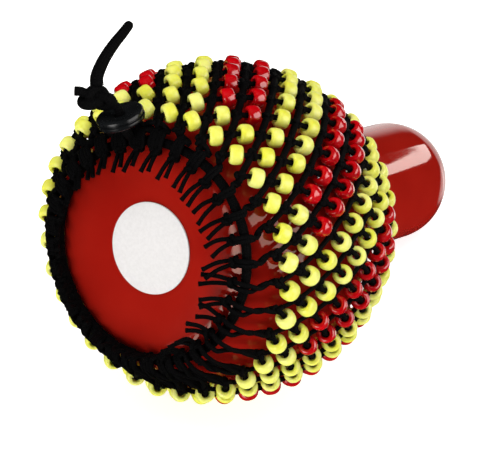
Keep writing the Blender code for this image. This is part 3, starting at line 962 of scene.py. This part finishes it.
def make_tail():
    """The drawstring's long cut end, widest where the knot spreads it and rounded off at its tip."""
    route = [hem_exit() + Vector(offset) for offset in TAIL_ROUTE]
    points = smooth_route([seated_on_knot(route[0])] + route, TAIL_SPACING)
    radii = []
    for index in range(len(points)):
        share = index / (len(points) - 1)
        radii.append(TAIL_WIDE_RADIUS + (TAIL_TIP_RADIUS - TAIL_WIDE_RADIUS) * share)
    radii[-2] *= TAIL_END_SHARES[0]
    radii[-1] *= TAIL_END_SHARES[1]
    form = Form()
    add_tube(form, points, radii, SIDEWAYS, WIDE_CORD_SIDES)
    tail = make_piece("tail_cord", form, thick_cord, "net", ["drawstring_tail"])


def add_camera():
    """The photograph's view."""
    data = bpy.data.cameras.new("camera")
    data.lens = CAMERA_LENS
    data.sensor_width = CAMERA_SENSOR
    camera = bpy.data.objects.new("camera", data)
    bpy.context.scene.collection.objects.link(camera)
    forward = (GOURD.to_3x3() @ CAMERA_FORWARD).normalized()
    right = GOURD.to_3x3() @ CAMERA_RIGHT
    right = (right - forward * right.dot(forward)).normalized()
    above = right.cross(forward)
    placement = Matrix((right, above, -forward)).transposed().to_4x4()
    placement.translation = GOURD.translation + right * CAMERA_ASIDE + above * CAMERA_ABOVE
    placement.translation -= forward * CAMERA_DISTANCE
    camera.matrix_world = placement
    bpy.context.scene.camera = camera


def sight(azimuth, elevation):
    """Direction of an azimuth and an elevation in degrees."""
    turn = math.radians(azimuth)
    rise = math.radians(elevation)
    return Vector((math.cos(rise) * math.cos(turn), math.cos(rise) * math.sin(turn), math.sin(rise)))


def add_softbox(name, azimuth, elevation, distance, width, height, radiance,
                roll=0.0, glossy=True, diffuse=True):
    """A plain softbox that faces the object, with its brightness the same at any size."""
    data = bpy.data.lights.new(name, "AREA")
    data.shape = "RECTANGLE"
    data.size = width
    data.size_y = height
    data.energy = radiance * math.pi * width * height
    data.color = LIGHT_COLOUR
    light = bpy.data.objects.new(name, data)
    bpy.context.scene.collection.objects.link(light)
    toward = sight(azimuth, elevation)
    facing = toward.to_track_quat("Z", "Y").to_matrix() @ Matrix.Rotation(math.radians(roll), 3, "Z")
    light.location = LIGHT_TARGET + toward * distance
    light.rotation_euler = facing.to_euler()
    light.visible_glossy = glossy
    light.visible_diffuse = diffuse


def add_surroundings():
    """A dim room with soft white cards that the gloss picks up."""
    world = bpy.data.worlds.new("studio")
    world.use_nodes = True
    nodes = world.node_tree.nodes
    links = world.node_tree.links
    place = nodes.new("ShaderNodeTexCoord")
    total = nodes.new("ShaderNodeValue").outputs["Value"]
    total.default_value = ROOM_LIGHT
    for azimuth, elevation, full, faded, radiance in ROOM_CARDS:
        facing = nodes.new("ShaderNodeVectorMath")
        facing.operation = "DOT_PRODUCT"
        facing.inputs[1].default_value = sight(azimuth, elevation)
        links.new(place.outputs["Generated"], facing.inputs[0])
        glow = nodes.new("ShaderNodeMapRange")
        glow.interpolation_type = "SMOOTHSTEP"
        glow.inputs["From Min"].default_value = math.cos(math.radians(faded))
        glow.inputs["From Max"].default_value = math.cos(math.radians(full))
        glow.inputs["To Max"].default_value = radiance
        links.new(facing.outputs["Value"], glow.inputs["Value"])
        both = nodes.new("ShaderNodeMath")
        links.new(total, both.inputs[0])
        links.new(glow.outputs["Result"], both.inputs[1])
        total = both.outputs["Value"]
    tint = nodes.new("ShaderNodeVectorMath")
    tint.operation = "SCALE"
    tint.inputs[0].default_value = LIGHT_COLOUR
    links.new(total, tint.inputs["Scale"])
    links.new(tint.outputs["Vector"], nodes["Background"].inputs["Color"])
    bpy.context.scene.world = world


def add_floor():
    """A plain round floor, a hair below the part."""
    form = Form()
    add_turned(form, [(radius, 0.0) for radius in FLOOR_RINGS], FLOOR_STEPS)
    mesh = bpy.data.meshes.new("floor")
    mesh.from_pydata(form.corners, [], form.faces)
    mesh.materials.append(floor_finish())
    floor = bpy.data.objects.new("floor", mesh)
    floor.location.z = -FLOOR_DROP
    floor.visible_glossy = False
    bpy.context.scene.collection.objects.link(floor)


def add_studio():
    """Floor, softboxes and room; the fills light the surfaces and the others show in the gloss alone."""
    add_floor()
    add_softbox("right_box", azimuth=8, elevation=20, distance=1.15, width=1.25, height=1.05,
                radiance=3.5, diffuse=False)
    add_softbox("rear_strip", azimuth=77.4, elevation=5.8, distance=1.25, width=0.471, height=0.092,
                radiance=6.2, roll=10, diffuse=False)
    add_softbox("right_fill", azimuth=10, elevation=40, distance=1.4, width=1.1, height=1.1,
                radiance=1.65, glossy=False)
    add_softbox("top_fill", azimuth=-70, elevation=85, distance=1.4, width=1.5, height=1.5,
                radiance=2.65, glossy=False)
    add_softbox("left_fill", azimuth=-160, elevation=30, distance=1.5, width=1.2, height=1.0,
                radiance=1.5, glossy=False)
    add_surroundings()
    bpy.context.scene.view_settings.view_transform = "Standard"


red_lacquer = lacquer_finish()
white_label = label_finish()
yellow_beads = yellow_finish()
red_beads = red_finish()
thick_cord = cord_finish("thick_cord", plaits=6, pitch=0.0022, relief=0.8)
thin_cord = cord_finish("thin_cord", plaits=3, pitch=0.0016, relief=0.7)
black_plastic = plastic_finish()
add_camera()
make_tail()
make_gourd()
make_base()
make_badge()
make_hem()
make_neck_ring()
make_net()
make_lock()
make_lead()
make_overhand_knot()
make_stub()
add_studio()
